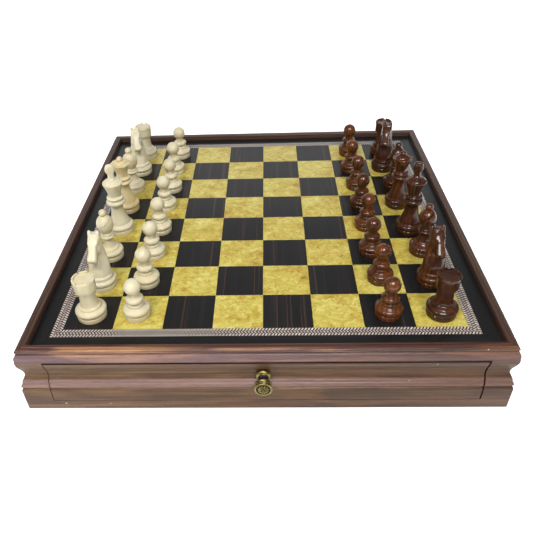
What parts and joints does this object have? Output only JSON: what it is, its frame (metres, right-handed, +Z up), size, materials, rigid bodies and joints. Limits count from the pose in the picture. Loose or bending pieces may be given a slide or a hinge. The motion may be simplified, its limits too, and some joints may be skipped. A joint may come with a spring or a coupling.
{
  "type": "chess box with drawers",
  "caption": "Moulded walnut case with a veneered chessboard top, felt-lined drawers at the front and back, and turned chessmen standing on the board.",
  "frame": {"origin": "middle of the case's underside, on the surface that it stands on", "axes": "+Z up; the front drawer faces -Y; the light army stands at -X and the dark army at +X"},
  "size_m": [0.4566, 0.4864, 0.1548],
  "materials": {
    "walnut": "oiled walnut, satin",
    "plywood": "plain plywood",
    "ebony_veneer": "black veneer, lacquered",
    "burl_veneer": "yellow burl veneer, lacquered",
    "rope_inlay": "rope pattern inlay, lacquered",
    "drawer_wood": "planed softwood",
    "green_felt": "felt",
    "antique_brass": "antique brass with dark patina",
    "screw_steel": "zinc plated",
    "light_chessmen": "cream lacquered wood",
    "dark_chessmen": "brown lacquered wood"
  },
  "bodies": {
    "case": {"front_moulding": "walnut", "back_moulding": "walnut", "left_moulding": "walnut", "right_moulding": "walnut", "board_panel": "plywood", "border_veneer": "ebony_veneer", "inlay_band": "rope_inlay", "dark_squares": "ebony_veneer", "light_squares": "burl_veneer", "base_panel": "plywood", "centre_partition": "drawer_wood", "drawer_guides": "drawer_wood", "drawer_kickers": "drawer_wood"},
    "front_drawer": {"front_drawer_face": "walnut", "front_drawer_sides": "drawer_wood", "front_drawer_bottom": "plywood", "front_drawer_felt": "green_felt", "front_drawer_dividers": "drawer_wood", "front_drawer_knob": "antique_brass", "front_drawer_screw": "screw_steel"},
    "back_drawer": {"back_drawer_face": "walnut", "back_drawer_sides": "drawer_wood", "back_drawer_bottom": "plywood", "back_drawer_felt": "green_felt", "back_drawer_dividers": "drawer_wood", "back_drawer_knob": "antique_brass", "back_drawer_screw": "screw_steel"},
    "light_rook_1_man": {"light_rook_1": "light_chessmen"},
    "light_knight_1_man": {"light_knight_1": "light_chessmen"},
    "light_bishop_1_man": {"light_bishop_1": "light_chessmen"},
    "light_king_man": {"light_king": "light_chessmen"},
    "light_queen_man": {"light_queen": "light_chessmen"},
    "light_bishop_2_man": {"light_bishop_2": "light_chessmen"},
    "light_knight_2_man": {"light_knight_2": "light_chessmen"},
    "light_rook_2_man": {"light_rook_2": "light_chessmen"},
    "light_pawn_1_man": {"light_pawn_1": "light_chessmen"},
    "light_pawn_2_man": {"light_pawn_2": "light_chessmen"},
    "light_pawn_3_man": {"light_pawn_3": "light_chessmen"},
    "light_pawn_4_man": {"light_pawn_4": "light_chessmen"},
    "light_pawn_5_man": {"light_pawn_5": "light_chessmen"},
    "light_pawn_6_man": {"light_pawn_6": "light_chessmen"},
    "light_pawn_7_man": {"light_pawn_7": "light_chessmen"},
    "light_pawn_8_man": {"light_pawn_8": "light_chessmen"},
    "dark_rook_1_man": {"dark_rook_1": "dark_chessmen"},
    "dark_knight_1_man": {"dark_knight_1": "dark_chessmen"},
    "dark_bishop_1_man": {"dark_bishop_1": "dark_chessmen"},
    "dark_king_man": {"dark_king": "dark_chessmen"},
    "dark_queen_man": {"dark_queen": "dark_chessmen"},
    "dark_bishop_2_man": {"dark_bishop_2": "dark_chessmen"},
    "dark_knight_2_man": {"dark_knight_2": "dark_chessmen"},
    "dark_rook_2_man": {"dark_rook_2": "dark_chessmen"},
    "dark_pawn_1_man": {"dark_pawn_1": "dark_chessmen"},
    "dark_pawn_2_man": {"dark_pawn_2": "dark_chessmen"},
    "dark_pawn_3_man": {"dark_pawn_3": "dark_chessmen"},
    "dark_pawn_4_man": {"dark_pawn_4": "dark_chessmen"},
    "dark_pawn_5_man": {"dark_pawn_5": "dark_chessmen"},
    "dark_pawn_6_man": {"dark_pawn_6": "dark_chessmen"},
    "dark_pawn_7_man": {"dark_pawn_7": "dark_chessmen"},
    "dark_pawn_8_man": {"dark_pawn_8": "dark_chessmen"}
  },
  "joints": [
    {"name": "drawer_front_slide", "type": "slide", "parent": "case", "child": "front_drawer", "axis": [0, -1, 0], "range_m": [0, 0.17]},
    {"name": "drawer_back_slide", "type": "slide", "parent": "case", "child": "back_drawer", "axis": [0, 1, 0], "range_m": [0, 0.17]},
    {"name": "lift_light_rook_1", "type": "slide", "parent": "case", "child": "light_rook_1_man", "axis": [0, 0, 1], "range_m": [0, 0.1]},
    {"name": "lift_light_knight_1", "type": "slide", "parent": "case", "child": "light_knight_1_man", "axis": [0, 0, 1], "range_m": [0, 0.1]},
    {"name": "lift_light_bishop_1", "type": "slide", "parent": "case", "child": "light_bishop_1_man", "axis": [0, 0, 1], "range_m": [0, 0.1]},
    {"name": "lift_light_king", "type": "slide", "parent": "case", "child": "light_king_man", "axis": [0, 0, 1], "range_m": [0, 0.1]},
    {"name": "lift_light_queen", "type": "slide", "parent": "case", "child": "light_queen_man", "axis": [0, 0, 1], "range_m": [0, 0.1]},
    {"name": "lift_light_bishop_2", "type": "slide", "parent": "case", "child": "light_bishop_2_man", "axis": [0, 0, 1], "range_m": [0, 0.1]},
    {"name": "lift_light_knight_2", "type": "slide", "parent": "case", "child": "light_knight_2_man", "axis": [0, 0, 1], "range_m": [0, 0.1]},
    {"name": "lift_light_rook_2", "type": "slide", "parent": "case", "child": "light_rook_2_man", "axis": [0, 0, 1], "range_m": [0, 0.1]},
    {"name": "lift_light_pawn_1", "type": "slide", "parent": "case", "child": "light_pawn_1_man", "axis": [0, 0, 1], "range_m": [0, 0.1]},
    {"name": "lift_light_pawn_2", "type": "slide", "parent": "case", "child": "light_pawn_2_man", "axis": [0, 0, 1], "range_m": [0, 0.1]},
    {"name": "lift_light_pawn_3", "type": "slide", "parent": "case", "child": "light_pawn_3_man", "axis": [0, 0, 1], "range_m": [0, 0.1]},
    {"name": "lift_light_pawn_4", "type": "slide", "parent": "case", "child": "light_pawn_4_man", "axis": [0, 0, 1], "range_m": [0, 0.1]},
    {"name": "lift_light_pawn_5", "type": "slide", "parent": "case", "child": "light_pawn_5_man", "axis": [0, 0, 1], "range_m": [0, 0.1]},
    {"name": "lift_light_pawn_6", "type": "slide", "parent": "case", "child": "light_pawn_6_man", "axis": [0, 0, 1], "range_m": [0, 0.1]},
    {"name": "lift_light_pawn_7", "type": "slide", "parent": "case", "child": "light_pawn_7_man", "axis": [0, 0, 1], "range_m": [0, 0.1]},
    {"name": "lift_light_pawn_8", "type": "slide", "parent": "case", "child": "light_pawn_8_man", "axis": [0, 0, 1], "range_m": [0, 0.1]},
    {"name": "lift_dark_rook_1", "type": "slide", "parent": "case", "child": "dark_rook_1_man", "axis": [0, 0, 1], "range_m": [0, 0.1]},
    {"name": "lift_dark_knight_1", "type": "slide", "parent": "case", "child": "dark_knight_1_man", "axis": [0, 0, 1], "range_m": [0, 0.1]},
    {"name": "lift_dark_bishop_1", "type": "slide", "parent": "case", "child": "dark_bishop_1_man", "axis": [0, 0, 1], "range_m": [0, 0.1]},
    {"name": "lift_dark_king", "type": "slide", "parent": "case", "child": "dark_king_man", "axis": [0, 0, 1], "range_m": [0, 0.1]},
    {"name": "lift_dark_queen", "type": "slide", "parent": "case", "child": "dark_queen_man", "axis": [0, 0, 1], "range_m": [0, 0.1]},
    {"name": "lift_dark_bishop_2", "type": "slide", "parent": "case", "child": "dark_bishop_2_man", "axis": [0, 0, 1], "range_m": [0, 0.1]},
    {"name": "lift_dark_knight_2", "type": "slide", "parent": "case", "child": "dark_knight_2_man", "axis": [0, 0, 1], "range_m": [0, 0.1]},
    {"name": "lift_dark_rook_2", "type": "slide", "parent": "case", "child": "dark_rook_2_man", "axis": [0, 0, 1], "range_m": [0, 0.1]},
    {"name": "lift_dark_pawn_1", "type": "slide", "parent": "case", "child": "dark_pawn_1_man", "axis": [0, 0, 1], "range_m": [0, 0.1]},
    {"name": "lift_dark_pawn_2", "type": "slide", "parent": "case", "child": "dark_pawn_2_man", "axis": [0, 0, 1], "range_m": [0, 0.1]},
    {"name": "lift_dark_pawn_3", "type": "slide", "parent": "case", "child": "dark_pawn_3_man", "axis": [0, 0, 1], "range_m": [0, 0.1]},
    {"name": "lift_dark_pawn_4", "type": "slide", "parent": "case", "child": "dark_pawn_4_man", "axis": [0, 0, 1], "range_m": [0, 0.1]},
    {"name": "lift_dark_pawn_5", "type": "slide", "parent": "case", "child": "dark_pawn_5_man", "axis": [0, 0, 1], "range_m": [0, 0.1]},
    {"name": "lift_dark_pawn_6", "type": "slide", "parent": "case", "child": "dark_pawn_6_man", "axis": [0, 0, 1], "range_m": [0, 0.1]},
    {"name": "lift_dark_pawn_7", "type": "slide", "parent": "case", "child": "dark_pawn_7_man", "axis": [0, 0, 1], "range_m": [0, 0.1]},
    {"name": "lift_dark_pawn_8", "type": "slide", "parent": "case", "child": "dark_pawn_8_man", "axis": [0, 0, 1], "range_m": [0, 0.1]}
  ]
}
